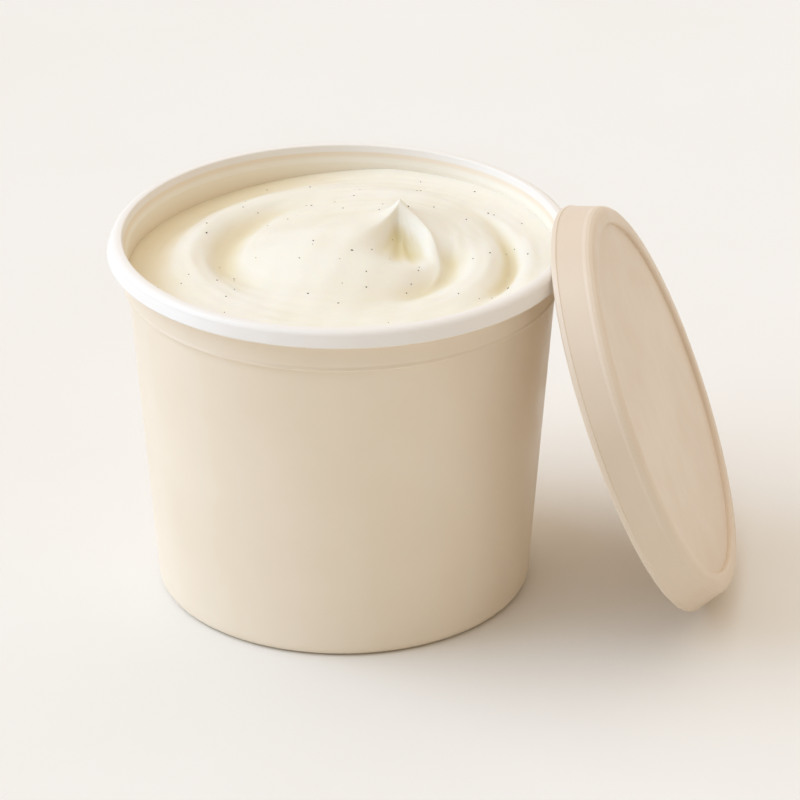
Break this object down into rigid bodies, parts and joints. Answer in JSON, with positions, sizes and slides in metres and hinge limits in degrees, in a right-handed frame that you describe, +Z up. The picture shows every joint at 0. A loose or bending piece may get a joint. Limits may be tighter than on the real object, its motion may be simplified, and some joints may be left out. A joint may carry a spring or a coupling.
{
  "type": "yogurt pot",
  "caption": "Tapered round pot with a stepped band and a beaded rim, full of swirled vanilla yogurt, with its shallow lid leaning on the rim.",
  "frame": {"origin": "centre of the pot's flat base, on the surface that it stands on", "axes": "+Z up along the pot's axis, +X from the pot to the leaning lid, +Y to the back"},
  "size_m": [0.1297, 0.0956, 0.0818],
  "materials": {
    "pot_plastic": "satin cream outside under a white rim",
    "yogurt": "smooth wet cream with fine vanilla specks",
    "lid_plastic": "satin beige"
  },
  "bodies": {
    "root": {"pot": "pot_plastic", "yogurt": "yogurt", "lid": "lid_plastic"}
  },
  "joints": []
}
